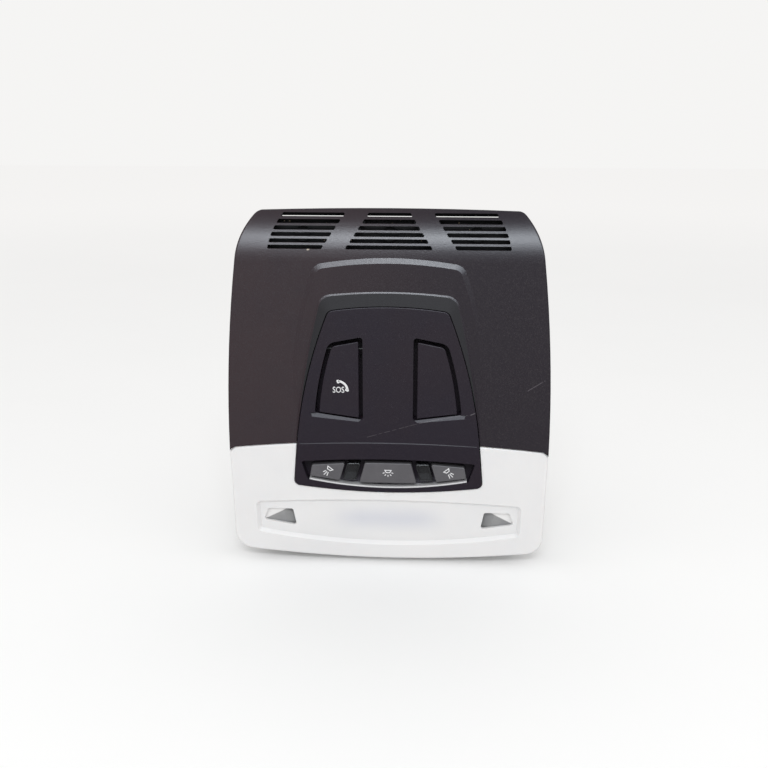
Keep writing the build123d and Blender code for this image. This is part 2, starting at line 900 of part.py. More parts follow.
def led(x, z):
    return block(x, z, led_size, led_size, board_front - led_height, board_front)


# Circuit board with what is soldered to it


def board_hole_places():
    return [(sign * x, z) for x, z in board_holes for sign in (-1, 1)]


def make_circuit_board():
    housing = stepped_outline(housing_half, housing_z, housing_corner_radius)
    board = prism(offset(housing, -housing_wall - board_margin), board_front, board_back)
    for x, z in board_hole_places():
        board -= disc(x, z, board_hole_diameter, board_front - overcut, board_back + overcut)
    return board


def make_key_switches():
    switches = []
    for x, z in light_keys() + [sos_centre]:
        body = block(x, z, switch_size, switch_size, board_front - switch_height, board_front)
        switches.append(body + disc(x, z, plunger_diameter, plunger_top, board_front - switch_height))
    return switches


def make_connector_header():
    x, z = header_centre
    width, height = header_size
    end_y = housing_back_y + header_proud
    floor_y = board_back + header_floor
    header = block(x, z, width, height, board_back, end_y)
    header -= block(x, z, width - 2 * header_wall, height - 2 * header_wall, floor_y, end_y + overcut)
    for column in range(pin_columns):
        pin_x = x + (column - (pin_columns - 1) / 2) * pin_pitch
        for row in (-1, 1):
            pin_z = z + row * pin_rows_apart / 2
            header += block(pin_x, pin_z, pin_width, pin_width, floor_y - overcut, floor_y + pin_length)
    return header


# Rear housing, screws and clips


def ear_outlines():
    """Tabs that join the screw places to the housing: sideways above, upwards below."""
    neck_z = housing_z[1] - housing_corner_radius
    ears = []
    for sign in (-1, 1):
        x, z = sign * upper_boss[0], upper_boss[1]
        ears.append(Pos(x / 2, z) * Rectangle(abs(x), ear_width) + Pos(x, z) * Circle(ear_width / 2))
        x, z = sign * lower_boss[0], lower_boss[1]
        arm = Pos(x, (z + neck_z) / 2) * Rectangle(ear_width, z - neck_z)
        ears.append(arm + Pos(x, z) * Circle(ear_width / 2))
    return ears


def make_rear_housing():
    outline = stepped_outline(housing_half, housing_z, housing_corner_radius)
    inside = offset(outline, -housing_wall)
    housing = prism(outline, housing_front_y, housing_back_y)
    for ear in ear_outlines():
        housing += prism(ear, housing_front_y, housing_front_y + ear_thickness)
    housing -= prism(inside, housing_front_y - overcut, housing_floor_y)
    ear_back = housing_front_y + ear_thickness
    for x, z in boss_places():
        housing -= disc(x, z, screw_hole_diameter, housing_front_y - overcut, ear_back + overcut)
    for x, z in board_hole_places():
        housing += disc(x, z, post_diameter, board_back, housing_floor_y + overcut)
        housing -= disc(x, z, screw_diameter, board_back - overcut, board_back + screw_depth)
    seat = RectangleRounded(seat_size[0], seat_size[1], seat_corner_radius)
    housing += prism(seat, housing_back_y - overcut, 0)
    for rib in rib_bars():
        housing += rib
    for x, z in clip_centres():
        blade_end = housing_back_y + blade_height
        housing += block(x, z, blade_thickness, blade_width, housing_back_y - overcut, blade_end)
    window = offset(Pos(*header_centre) * Rectangle(*header_size), header_gap, kind=Kind.INTERSECTION)
    return housing - prism(window, housing_floor_y - overcut, overcut)


def rib_bars():
    low, middle, high = housing_z
    upper_low, upper_high = middle, high - rib_margin
    lower_low, lower_high = low + rib_margin, middle - rib_margin
    bars = [(x, upper_low, upper_high) for x in rib_x] + [(x, lower_low, lower_high) for x in low_rib_x]
    return [block(x, (a + b) / 2, rib_width, b - a, housing_back_y - overcut, housing_back_y + rib_height)
            for x, a, b in bars]


def clip_centres():
    return [(sign * x, z) for x, z in clip_places for sign in (-1, 1)]


def screw(x, z, seat_y, tip_y):
    """A pan-head screw between its head's seat and its tip, with a cross socket."""
    toward = 1 if seat_y > tip_y else -1
    head_end = seat_y + toward * screw_head_height
    head = disc(x, z, screw_head_diameter, min(seat_y, head_end), max(seat_y, head_end))
    shank = disc(x, z, screw_diameter, min(seat_y, tip_y), max(seat_y, tip_y))
    floor_y = head_end - toward * socket_depth
    arm = screw_head_diameter - 2 * socket_width
    mouth_y = head_end + toward * overcut
    front, back = min(floor_y, mouth_y), max(floor_y, mouth_y)
    cross = block(x, z, arm, socket_width, front, back) + block(x, z, socket_width, arm, front, back)
    return head + shank - cross


def make_housing_screws():
    seat_y = housing_front_y + ear_thickness
    tip_y = housing_front_y - screw_depth + screw_tip_gap
    return [screw(x, z, seat_y, tip_y) for x, z in boss_places()]


def make_board_screws():
    tip_y = board_back + screw_depth - screw_tip_gap
    return [screw(x, z, board_front, tip_y) for x, z in board_hole_places()]


def clip(x, z):
    """A steel strip folded over its blade, with two legs that spring outwards."""
    shoulder = blade_thickness / 2 + clip_clearance + clip_sheet / 2
    tip_y = housing_back_y + blade_height + clip_clearance + clip_sheet / 2
    leg_y = tip_y - clip_leg
    right = [
        (shoulder, tip_y),
        (shoulder + clip_flare, leg_y),
        (shoulder + clip_sheet, leg_y - clip_flare / 2),
    ]
    strip = trace(Polyline(*mirrored(reversed(right)), *right), line_width=clip_sheet)
    return Pos(x, 0, 0) * extrude(Plane.XY.offset(z - clip_width / 2) * strip, amount=clip_width)


def make_spring_clips():
    return [clip(x, z) for x, z in clip_centres()]


# Modules behind the grilles


def make_module(corners):
    outline = polygon(corners)
    inset = trim_wall + module_gap
    back = face_y + module_back_depth
    body = prism(outline, far_front, back) & slab(trim_profile(inset, back))
    body -= prism(offset(outline, -module_wall), far_front, back - module_wall)
    middle_x = sum(x for x, z in corners) / len(corners)
    middle_z = sum(z for x, z in corners) / len(corners)
    return body + disc(middle_x, middle_z, capsule_diameter, back - module_wall - capsule_height,
                       back - module_wall)


def centre_module_corners():
    top_half, low_half = centre_module_half
    top_z = side_module_corners[0][1]
    low_z = side_module_corners[2][1]
    return [(-top_half, top_z), (top_half, top_z), (low_half, low_z), (-low_half, low_z)]


def main():
    right_button = list(reading_button_corners)
    right_window = list(window_corners)
    right_module = list(side_module_corners)
    nodes = {
        "trim_cover": make_trim_cover(),
        "switch_panel": make_switch_panel(),
        "sos_flap": make_sos_flap(),
        "sos_hinge_pin": make_sos_hinge_pin(),
        "sos_flap_spring": make_sos_flap_spring(),
        "sos_button": make_sos_button(),
        "right_blank_cover": make_right_blank_cover(),
        "left_reading_button": make_button(mirrored(right_button), (-reading_key[0], reading_key[1])),
        "centre_light_button": make_button(centre_button_corners(), centre_key),
        "right_reading_button": make_button(right_button, reading_key),
        "left_ambient_window": make_window(mirrored(right_window)),
        "right_ambient_window": make_window(right_window),
        "chrome_strip": make_chrome_strip(),
        "main_lens": make_main_lens(),
        "light_guide": make_light_guide(),
        "left_reading_reflector": make_reflector(-1),
        "right_reading_reflector": make_reflector(1),
        "reading_leds": make_reading_leds(),
        "courtesy_leds": make_courtesy_leds(),
        "circuit_board": make_circuit_board(),
        "key_switches": make_key_switches(),
        "connector_header": make_connector_header(),
        "rear_housing": make_rear_housing(),
        "housing_screws": make_housing_screws(),
        "board_screws": make_board_screws(),
        "spring_clips": make_spring_clips(),
        "left_microphone": make_module(mirrored(right_module)),
        "right_microphone": make_module(right_module),
        "alarm_sensor": make_module(centre_module_corners()),
    }
    os.makedirs("parts", exist_ok=True)
    for name, shape in nodes.items():
        solids = shape if isinstance(shape, list) else [shape]
        export_step(Compound(children=solids) if len(solids) > 1 else solids[0], f"parts/{name}.step")


main()
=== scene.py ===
import math

import bmesh
import bpy
from mathutils import Matrix, Vector


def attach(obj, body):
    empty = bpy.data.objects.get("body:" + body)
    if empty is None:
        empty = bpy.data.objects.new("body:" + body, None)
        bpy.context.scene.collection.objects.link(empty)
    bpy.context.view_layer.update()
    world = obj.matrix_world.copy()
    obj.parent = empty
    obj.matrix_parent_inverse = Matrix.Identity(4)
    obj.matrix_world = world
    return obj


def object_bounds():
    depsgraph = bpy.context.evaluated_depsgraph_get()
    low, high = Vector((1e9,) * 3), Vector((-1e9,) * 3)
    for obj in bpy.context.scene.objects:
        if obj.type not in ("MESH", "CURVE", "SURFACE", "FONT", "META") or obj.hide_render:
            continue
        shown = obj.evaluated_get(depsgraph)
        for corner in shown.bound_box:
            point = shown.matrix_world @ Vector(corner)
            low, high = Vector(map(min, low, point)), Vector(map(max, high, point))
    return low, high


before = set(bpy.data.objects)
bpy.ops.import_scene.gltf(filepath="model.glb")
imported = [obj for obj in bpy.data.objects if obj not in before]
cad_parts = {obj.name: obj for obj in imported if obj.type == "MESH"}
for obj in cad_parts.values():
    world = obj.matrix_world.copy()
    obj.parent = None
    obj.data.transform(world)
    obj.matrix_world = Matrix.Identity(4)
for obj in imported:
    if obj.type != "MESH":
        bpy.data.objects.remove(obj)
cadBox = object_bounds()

mm = 0.001
print("frame loaded:", len(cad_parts), "nodes")


# node helpers: an input takes a value or another node's output
def fillInputs(tree, node, values):
    for name, value in values.items():
        if isinstance(value, bpy.types.NodeSocket):
            tree.links.new(value, node.inputs[name])
        else:
            node.inputs[name].default_value = value


def makeNode(tree, kind, inputs=None, **settings):
    node = tree.nodes.new("ShaderNode" + kind)
    for name, value in settings.items():
        setattr(node, name, value)
    fillInputs(tree, node, inputs or {})
    return node


def calc(tree, operation, first, second=0.0, clamp=False):
    node = makeNode(tree, "Math", {0: first, 1: second}, operation=operation, use_clamp=clamp)
    return node.outputs[0]


def vectorCalc(tree, operation, first, second, result=0):
    return makeNode(tree, "VectorMath", {0: first, 1: second}, operation=operation).outputs[result]


def remap(tree, value, low, high, newLow=0.0, newHigh=1.0):
    inputs = {"Value": value, "From Min": low, "From Max": high, "To Min": newLow, "To Max": newHigh}
    return makeNode(tree, "MapRange", inputs, interpolation_type="SMOOTHSTEP").outputs["Result"]


# a colour mix has its colours at inputs 6 and 7 and its result at output 2
def mixColour(tree, factor, first, second):
    node = makeNode(tree, "Mix", {0: factor, 6: first, 7: second}, data_type="RGBA")
    return node.outputs[2]


def objectCoords(tree):
    return makeNode(tree, "TexCoord").outputs["Object"]


def noiseOf(tree, coords, scale, detail, roughness=0.5):
    inputs = {"Vector": coords, "Scale": scale, "Detail": detail, "Roughness": roughness}
    return makeNode(tree, "TexNoise", inputs).outputs[0]


def newGroup(name, inputs, outputs):
    group = bpy.data.node_groups.new(name, "ShaderNodeTree")
    for label, kind, value in inputs:
        socket = group.interface.new_socket(label, in_out="INPUT", socket_type="NodeSocket" + kind)
        socket.default_value = value
    for label, kind in outputs:
        group.interface.new_socket(label, in_out="OUTPUT", socket_type="NodeSocket" + kind)
    return group, group.nodes.new("NodeGroupInput").outputs, group.nodes.new("NodeGroupOutput").inputs


def useGroup(tree, group, values):
    node = tree.nodes.new("ShaderNodeGroup")
    node.node_tree = group
    fillInputs(tree, node, values)
    return node.outputs


grainShape = {"cells": 2200.0, "detail": 2.0, "softShare": 0.5}


# pebbled mould texture
def makeMouldGrain(shape):
    inputs = [("Cells", "Float", shape["cells"])]
    tree, given, put = newGroup("mouldGrain", inputs, [("Height", "Float"), ("Fleck", "Float")])
    coords = objectCoords(tree)
    pebbles = makeNode(tree, "TexVoronoi", {"Vector": coords, "Scale": given["Cells"]}, feature="SMOOTH_F1")
    fleck = noiseOf(tree, coords, given["Cells"], shape["detail"])
    soft = calc(tree, "MULTIPLY", fleck, shape["softShare"])
    tree.links.new(calc(tree, "SUBTRACT", soft, pebbles.outputs["Distance"]), put["Height"])
    tree.links.new(fleck, put["Fleck"])
    return tree


driftShape = {"patches": 30.0, "detail": 4.0, "roughness": 0.6, "span": (0.35, 0.68)}


# slow drift between two tones, as handled plastic has
def makeToneDrift(shape):
    black = (0, 0, 0, 1)
    inputs = [("Base", "Color", black), ("Drift", "Color", black), ("Patches", "Float", shape["patches"])]
    tree, given, put = newGroup("toneDrift", inputs, [("Colour", "Color"), ("Mask", "Float")])
    noise = noiseOf(tree, objectCoords(tree), given["Patches"], shape["detail"], shape["roughness"])
    mask = remap(tree, noise, *shape["span"])
    tree.links.new(mixColour(tree, mask, given["Base"], given["Drift"]), put["Colour"])
    tree.links.new(mask, put["Mask"])
    return tree


scuffShape = {"width": 0.0004, "gaps": 0.4, "gapFade": 0.12, "edge": (1.0, 0.2), "cells": 900.0,
              "detail": 3.0}


# one straight scuff in the front view, broken up along its length
def makeScuff(shape):
    inputs = [("Start", "Vector", (0, 0, 0)), ("End", "Vector", (0, 0, 0)),
              ("Width", "Float", shape["width"]), ("Gaps", "Float", shape["gaps"])]
    tree, given, put = newGroup("scuff", inputs, [("Mask", "Float")])
    coords = objectCoords(tree)
    front = vectorCalc(tree, "MULTIPLY", coords, (1.0, 0.0, 1.0))
    run = vectorCalc(tree, "SUBTRACT", given["End"], given["Start"])
    offset = vectorCalc(tree, "SUBTRACT", front, given["Start"])
    along = vectorCalc(tree, "DOT_PRODUCT", offset, run, "Value")
    whole = vectorCalc(tree, "DOT_PRODUCT", run, run, "Value")
    share = calc(tree, "DIVIDE", along, whole, clamp=True)
    foot = makeNode(tree, "VectorMath", {0: run, "Scale": share}, operation="SCALE").outputs[0]
    gap = vectorCalc(tree, "DISTANCE", offset, foot, "Value")
    line = remap(tree, calc(tree, "DIVIDE", gap, given["Width"]), *shape["edge"])
    noise = noiseOf(tree, coords, shape["cells"], shape["detail"])
    broken = remap(tree, noise, calc(tree, "SUBTRACT", given["Gaps"], shape["gapFade"]), given["Gaps"])
    tree.links.new(calc(tree, "MULTIPLY", line, broken), put["Mask"])
    return tree


speckShape = {"cells": 700.0, "share": 0.1, "edge": (0.32, 0.18)}


# sparse pale specks
def makeDustSpecks(shape):
    inputs = [("Cells", "Float", shape["cells"]), ("Share", "Float", shape["share"])]
    tree, given, put = newGroup("dustSpecks", inputs, [("Mask", "Float")])
    spread = {"Vector": objectCoords(tree), "Scale": given["Cells"]}
    cells = makeNode(tree, "TexVoronoi", spread, feature="F1")
    dot = remap(tree, cells.outputs["Distance"], *shape["edge"])
    pick = makeNode(tree, "SeparateColor", {0: cells.outputs["Color"]})
    chosen = calc(tree, "LESS_THAN", pick.outputs[0], given["Share"])
    tree.links.new(calc(tree, "MULTIPLY", dot, chosen), put["Mask"])
    return tree


mouldGrain = makeMouldGrain(grainShape)
toneDrift = makeToneDrift(driftShape)
scuff = makeScuff(scuffShape)
dustSpecks = makeDustSpecks(speckShape)
print("shader groups ready")


def newMaterial(name, values):
    mat = bpy.data.materials.new(name)
    mat.use_nodes = True
    tree = mat.node_tree
    shader = tree.nodes["Principled BSDF"]
    fillInputs(tree, shader, values)
    return mat, tree, shader.inputs


noiseSpan = (0.3, 0.7)  # where most of a noise's values lie
fleckSpan = (0.52, 0.72)  # the brightest flecks
grainDepth = 0.0001
lineDepth = 0.00005


def driftOf(tree, look):
    values = {"Base": look["base"], "Drift": look["drift"], "Patches": look["patches"]}
    return useGroup(tree, toneDrift, values)


def glossOf(tree, mask, look):
    return remap(tree, mask, *noiseSpan, *look["gloss"])


def addBump(tree, shader, strength, height, depth):
    bump = makeNode(tree, "Bump", {"Strength": strength, "Distance": depth, "Height": height})
    tree.links.new(bump.outputs["Normal"], shader["Normal"])


# how far a place lies on the outer, upper side of a slanting line, alike at both ends
def pastLine(tree, place, start, end):
    (x, z), (endX, endZ) = start, end
    beyond = calc(tree, "SUBTRACT", calc(tree, "ABSOLUTE", place["X"]), x)
    outward = calc(tree, "MULTIPLY", beyond, endZ - z)
    upward = calc(tree, "MULTIPLY", calc(tree, "SUBTRACT", place["Z"], z), x - endX)
    return calc(tree, "DIVIDE", calc(tree, "ADD", outward, upward), math.hypot(endX - x, endZ - z))


# the shared recipe of the moulded parts: drifting tone, grain and uneven gloss, with painted shade and
# painted light on some parts
def mouldedPlastic(name, look):
    mat, tree, shader = newMaterial(name, look["shader"])
    place = makeNode(tree, "SeparateXYZ", {0: objectCoords(tree)}).outputs
    colour = driftOf(tree, look)["Colour"]
    grain = useGroup(tree, mouldGrain, {"Cells": look["cells"]})
    if "rightShadeTone" in look:  # painted shade: darker and cooler towards the right end, lighter and warmer at the left, as the light falls
        across = remap(tree, place["X"], *look["rightShadeSpan"])
        colour = mixColour(tree, across, colour, look["rightShadeTone"])
    if "litFacetTone" in look:  # painted light: the corner past the slanting line is painted much paler, as a lit facet beside the shaded rest
        past = pastLine(tree, place, look["facetFrom"], look["facetTo"])
        corner = remap(tree, past, -look["facetBlend"], look["facetBlend"])
        colour = mixColour(tree, corner, colour, look["litFacetTone"])
    if "lipTone" in look:  # paler lower lip
        lip = remap(tree, place["Z"], look["lipFrom"], look["lipFrom"] - look["lipBlend"])
        colour = mixColour(tree, lip, colour, look["lipTone"])
    if "fleckTone" in look:
        colour = mixColour(tree, remap(tree, grain["Fleck"], *fleckSpan), colour, look["fleckTone"])
    for start, end, width, gaps, tint in look.get("scuffs", []):
        mask = useGroup(tree, scuff, {"Start": start, "End": end, "Width": width, "Gaps": gaps})["Mask"]
        colour = mixColour(tree, mask, colour, tint)
    if "dust" in look:
        specks = useGroup(tree, dustSpecks, look["dust"])["Mask"]
        colour = mixColour(tree, specks, colour, look["dustTone"])
    rough = glossOf(tree, grain["Fleck"], look)
    if "slopeShadeTone" in look:  # painted shade on the hood's slope: darker colour, and rougher gloss
        slope = remap(tree, place["Y"], look["matteFrom"], look["matteFrom"] - look["matteBlend"])
        colour = mixColour(tree, slope, colour, look["slopeShadeTone"])
        rough = calc(tree, "ADD", rough, calc(tree, "MULTIPLY", slope, look["matteAdd"]))
    tree.links.new(colour, shader["Base Color"])
    tree.links.new(rough, shader["Roughness"])
    addBump(tree, shader, look["bump"], grain["Height"], grainDepth)
    return mat


def dress(mat, *names):
    for name in names:
        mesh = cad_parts[name].data
        mesh.materials.clear()
        mesh.materials.append(mat)


trimLook = {
    "base": (0.033, 0.0190, 0.0225, 1), "drift": (0.027, 0.0170, 0.0220, 1), "patches": 14.0, "cells": 2600.0,
    # painted shade: the right end of the trim is painted darker and cooler
    "rightShadeTone": (0.015, 0.0100, 0.0160, 1), "rightShadeSpan": (-0.09, 0.07),
    # painted shade: the hood's slope is painted darker, as well as made rougher
    "slopeShadeTone": (0.010, 0.0075, 0.0095, 1), "matteFrom": -0.03742, "matteBlend": 0.00008, "matteAdd": 0.5,
    "fleckTone": (0.036, 0.028, 0.033, 1), "gloss": (0.30, 0.38), "bump": 0.45, "shader": {"IOR": 1.5},
    "scuffs": [
        ((0.0866, 0, -0.0030), (0.0967, 0, 0.0036), 0.00045, 0.45, (0.07, 0.06, 0.07, 1)),
        ((-0.0488, 0, 0.0829), (-0.0482, 0, 0.0831), 0.0008, 0.25, (0.42, 0.36, 0.29, 1)),
    ],
}
dress(mouldedPlastic("trimPlastic", trimLook), "trim_cover")

panelLook = {
    "base": (0.0120, 0.0062, 0.0155, 1), "drift": (0.0145, 0.0066, 0.0140, 1), "patches": 18.0,
    "cells": 2600.0, "fleckTone": (0.022, 0.016, 0.024, 1), "gloss": (0.44, 0.52), "bump": 0.5,
    "shader": {"IOR": 1.42},
    "scuffs": [
        ((-0.0130, 0, -0.0349), (0.0196, 0, -0.0250), 0.00028, 0.50, (0.060, 0.052, 0.060, 1)),
        ((0.0196, 0, -0.0250), (0.0327, 0, -0.0221), 0.00032, 0.47, (0.085, 0.075, 0.085, 1)),
        ((0.0327, 0, -0.0221), (0.0519, 0, -0.0188), 0.00028, 0.52, (0.060, 0.052, 0.060, 1)),
        ((0.0519, 0, -0.0188), (0.0574, 0, -0.0162), 0.00036, 0.44, (0.11, 0.10, 0.11, 1)),
    ],
}
dress(mouldedPlastic("panelPlastic", panelLook), "switch_panel", "sos_flap", "right_blank_cover")

buttonLook = {
    "base": (0.090, 0.086, 0.094, 1), "drift": (0.102, 0.097, 0.105, 1), "patches": 60.0, "cells": 3200.0,
    "gloss": (0.46, 0.56), "bump": 0.25, "shader": {"IOR": 1.48},
}
dress(mouldedPlastic("buttonSatin", buttonLook), "left_reading_button", "centre_light_button",
      "right_reading_button")

callLook = {
    "base": (0.36, 0.012, 0.010, 1), "drift": (0.31, 0.010, 0.010, 1), "patches": 50.0, "cells": 3000.0,
    "gloss": (0.34, 0.44), "bump": 0.15, "shader": {"IOR": 1.5},
}
dress(mouldedPlastic("callRed", callLook), "sos_button")

housingLook = {
    "base": (0.030, 0.030, 0.032, 1), "drift": (0.038, 0.037, 0.039, 1), "patches": 22.0, "cells": 1800.0,
    "gloss": (0.44, 0.60), "bump": 0.4, "shader": {"IOR": 1.5},
    "dust": {"Cells": 900.0, "Share": 0.05}, "dustTone": (0.075, 0.072, 0.070, 1),
}
dress(mouldedPlastic("housingBlack", housingLook), "rear_housing")

connectorLook = {
    "base": (0.022, 0.022, 0.025, 1), "drift": (0.028, 0.028, 0.031, 1), "patches": 70.0, "cells": 3000.0,
    "gloss": (0.36, 0.48), "bump": 0.2, "shader": {"IOR": 1.52},
}
dress(mouldedPlastic("connectorBlack", connectorLook), "connector_header", "key_switches")

moduleLook = {
    "base": (0.005, 0.005, 0.006, 1), "drift": (0.008, 0.008, 0.008, 1), "patches": 60.0, "cells": 2400.0,
    "gloss": (0.8, 0.9), "bump": 0.3, "shader": {"IOR": 1.4},
    "dust": {"Cells": 620.0, "Share": 0.05}, "dustTone": (0.24, 0.19, 0.14, 1),
}
dress(mouldedPlastic("moduleBlack", moduleLook), "left_microphone", "right_microphone", "alarm_sensor")

reflectorLook = {
    "base": (0.255, 0.255, 0.26, 1), "drift": (0.30, 0.30, 0.30, 1), "patches": 80.0, "cells": 2600.0,
    # painted light: the facet corner of each reflector is painted pale, as lit
    "litFacetTone": (0.80, 0.79, 0.785, 1), "facetFrom": (0.0828, -0.0982), "facetTo": (0.0696, -0.0912),
    "facetBlend": 0.0004, "gloss": (0.32, 0.42), "bump": 0.15, "shader": {"IOR": 1.5},
}
dress(mouldedPlastic("reflectorGrey", reflectorLook), "left_reading_reflector", "right_reading_reflector")

windowLook = {
    "base": (0.012, 0.012, 0.013, 1), "drift": (0.018, 0.018, 0.020, 1), "patches": 90.0, "cells": 3000.0,
    "lipTone": (0.085, 0.085, 0.092, 1), "lipFrom": -0.0648, "lipBlend": 0.0008,
    "gloss": (0.16, 0.26), "bump": 0.08, "shader": {"IOR": 1.5},
}
dress(mouldedPlastic("windowSmoke", windowLook), "left_ambient_window", "right_ambient_window")
print("moulded parts dressed")


# white lens: translucent, with painted shade: a little darker and bluer where the light guide stands behind
# it
def lensMaterial(look):
    mat, tree, shader = newMaterial("lensWhite", look["shader"])
    place = makeNode(tree, "SeparateXYZ", {0: objectCoords(tree)}).outputs
    half, tall, fade = look["guideHalf"], look["guideTall"], look["fade"]
    across = remap(tree, calc(tree, "ABSOLUTE", place["X"]), half + fade, half - fade)
    height = calc(tree, "ABSOLUTE", calc(tree, "SUBTRACT", place["Z"], look["guideZ"]))
    up = remap(tree, height, tall + fade / 2, tall - fade / 2)
    mask = calc(tree, "MULTIPLY", across, up)
    tone = driftOf(tree, look)["Colour"]
    # painted shade and tint of the light guide behind the lens
    tree.links.new(mixColour(tree, mask, tone, look["guideShadeTone"]), shader["Base Color"])
    grain = useGroup(tree, mouldGrain, {"Cells": look["cells"]})
    tree.links.new(glossOf(tree, grain["Fleck"], look), shader["Roughness"])
    addBump(tree, shader, look["bump"], grain["Height"], grainDepth)
    return mat


lensLook = {
    "base": (0.765, 0.757, 0.757, 1), "drift": (0.735, 0.73, 0.735, 1), "patches": 12.0, "cells": 2000.0,
    "guideShadeTone": (0.645, 0.65, 0.69, 1), "guideHalf": 0.030, "guideZ": -0.0945, "guideTall": 0.006,
    "fade": 0.014, "gloss": (0.28, 0.36), "bump": 0.06,
    "shader": {"IOR": 1.5, "Subsurface Weight": 0.35, "Subsurface Radius": (1.0, 0.9, 0.85),
               "Subsurface Scale": 0.003},
}
dress(lensMaterial(lensLook), "main_lens")

guideLook = {
    "base": (0.78, 0.80, 0.86, 1), "drift": (0.72, 0.75, 0.83, 1), "patches": 20.0, "cells": 1500.0,
    "gloss": (0.10, 0.18), "bump": 0.05, "shader": {"IOR": 1.49},
}
dress(mouldedPlastic("guideAcrylic", guideLook), "light_guide")


# strip, plated and dark steel: fine lines one way
def metalMaterial(name, look):
    mat, tree, shader = newMaterial(name, look["shader"])
    stretch = makeNode(tree, "Mapping", {"Vector": objectCoords(tree), "Scale": look["stretch"]})
    noise = noiseOf(tree, stretch.outputs[0], look["lines"], detail=4.0)
    tree.links.new(glossOf(tree, noise, look), shader["Roughness"])
    tree.links.new(mixColour(tree, noise, look["base"], look["drift"]), shader["Base Color"])
    addBump(tree, shader, look["bump"], noise, lineDepth)
    return mat


stripLook = {
    "base": (0.95, 0.95, 0.96, 1), "drift": (0.88, 0.88, 0.90, 1), "stretch": (0.2, 1.0, 1.0), "lines": 600.0,
    "gloss": (0.16, 0.26), "bump": 0.05, "shader": {"Metallic": 0.45},
}
dress(metalMaterial("stripChrome", stripLook), "chrome_strip")

steelLook = {
    "base": (0.55, 0.55, 0.56, 1), "drift": (0.46, 0.46, 0.46, 1), "stretch": (1.0, 1.0, 0.15),
    "lines": 900.0, "gloss": (0.26, 0.42), "bump": 0.2, "shader": {"Metallic": 1.0},
}
dress(metalMaterial("zincSteel", steelLook), "housing_screws", "board_screws", "spring_clips")

darkSteelLook = {
    "base": (0.020, 0.020, 0.021, 1), "drift": (0.030, 0.029, 0.028, 1), "stretch": (0.15, 1.0, 1.0),
    "lines": 900.0, "gloss": (0.38, 0.52), "bump": 0.2, "shader": {"Metallic": 0.6},
}
dress(metalMaterial("darkSteel", darkSteelLook), "sos_hinge_pin", "sos_flap_spring")


# green board with copper-shaded tracks
def boardMaterial(look):
    mat, tree, shader = newMaterial("boardGreen", look["shader"])
    upright = {"Vector": objectCoords(tree), "Rotation": (math.radians(90), 0, 0)}
    coords = makeNode(tree, "Mapping", upright).outputs[0]
    tracks = makeNode(tree, "TexBrick", {"Vector": coords, "Scale": look["tracks"]}).outputs["Fac"]
    tone = driftOf(tree, look)
    lines = calc(tree, "SUBTRACT", 1.0, tracks)
    tree.links.new(mixColour(tree, lines, look["copper"], tone["Colour"]), shader["Base Color"])
    tree.links.new(remap(tree, tone["Mask"], 0.0, 1.0, *look["gloss"]), shader["Roughness"])
    addBump(tree, shader, look["bump"], tracks, grainDepth)
    return mat


boardLook = {
    "base": (0.010, 0.085, 0.030, 1), "drift": (0.012, 0.110, 0.040, 1), "patches": 120.0,
    "copper": (0.05, 0.16, 0.05, 1), "tracks": 180.0, "gloss": (0.28, 0.40), "bump": 0.2,
    "shader": {"IOR": 1.5},
}
dress(boardMaterial(boardLook), "circuit_board")


# light sources: white with yellow patches
def ledMaterial(look):
    mat, tree, shader = newMaterial("ledPackage", look["shader"])
    mask = remap(tree, noiseOf(tree, objectCoords(tree), look["cells"], detail=1.0), *look["span"])
    tree.links.new(mixColour(tree, mask, look["package"], look["phosphor"]), shader["Base Color"])
    return mat


ledLook = {
    "package": (0.82, 0.81, 0.76, 1), "phosphor": (0.80, 0.66, 0.20, 1), "cells": 260.0, "span": (0.42, 0.58),
    "shader": {"IOR": 1.5, "Roughness": 0.3},
}
dress(ledMaterial(ledLook), "reading_leds", "courtesy_leds")
print("all nodes dressed")


def makeObject(bm, name, mat):
    mesh = bpy.data.meshes.new(name)
    bm.to_mesh(mesh)
    bm.free()
    mesh.materials.append(mat)
    piece = bpy.data.objects.new(name, mesh)
    bpy.context.scene.collection.objects.link(piece)
    return piece


# printed marks: flat shapes in millimetres, raised a hair and set on a tilted face,
# which is given by its slope and its depth at z = 0
def setOnFace(bm, look):
    x, z = look["at"]
    slope = look["slope"]
    up = Vector((0, -slope, 1)).normalized()
    out = Vector((0, -1, -slope)).normalized()
    across = Vector((1, 0, 0))
    turn = Matrix((across, up, out)).transposed().to_4x4()
    place = Matrix.Translation(Vector((x, look["level"] - slope * z, z)) * mm)
    bmesh.ops.transform(bm, matrix=place @ turn @ Matrix.Scale(mm, 4), verts=bm.verts)


# lifts the flat shape and sinks its lower side a little into the surface
def raisePrint(bm, height):
    faces = bmesh.ops.extrude_face_region(bm, geom=bm.faces[:])
    lifted = [item for item in faces["geom"] if isinstance(item, bmesh.types.BMVert)]
    bmesh.ops.translate(bm, vec=(0, 0, height), verts=lifted)
    sunk = [vert for vert in bm.verts if vert not in lifted]
    bmesh.ops.translate(bm, vec=(0, 0, -height / 2), verts=sunk)
    bmesh.ops.recalc_face_normals(bm, faces=bm.faces)


def finishMark(bm, name, look, body):
    raisePrint(bm, look["print"])
    setOnFace(bm, look)
    piece = makeObject(bm, name, markPaint)
    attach(piece, body)


barCorner = 0.35  # share of a bar's width
cornerSteps = 3
arcSteps = 14


# a bar of given middle, length, width and turn, with rounded corners
def addBar(bm, middle, length, width, turn):
    grid = bmesh.ops.create_grid(bm, x_segments=1, y_segments=1, size=0.5)
    shape = Matrix.Translation((middle[0], middle[1], 0)) @ Matrix.Rotation(turn, 4, "Z")
    shape = shape @ Matrix.Diagonal((width, length, 1, 1))
    bmesh.ops.transform(bm, matrix=shape, verts=grid["verts"])
    bmesh.ops.bevel(bm, geom=grid["verts"], offset=width * barCorner, offset_type="OFFSET", affect="VERTICES",
                    segments=cornerSteps, profile=0.5, material=-1)


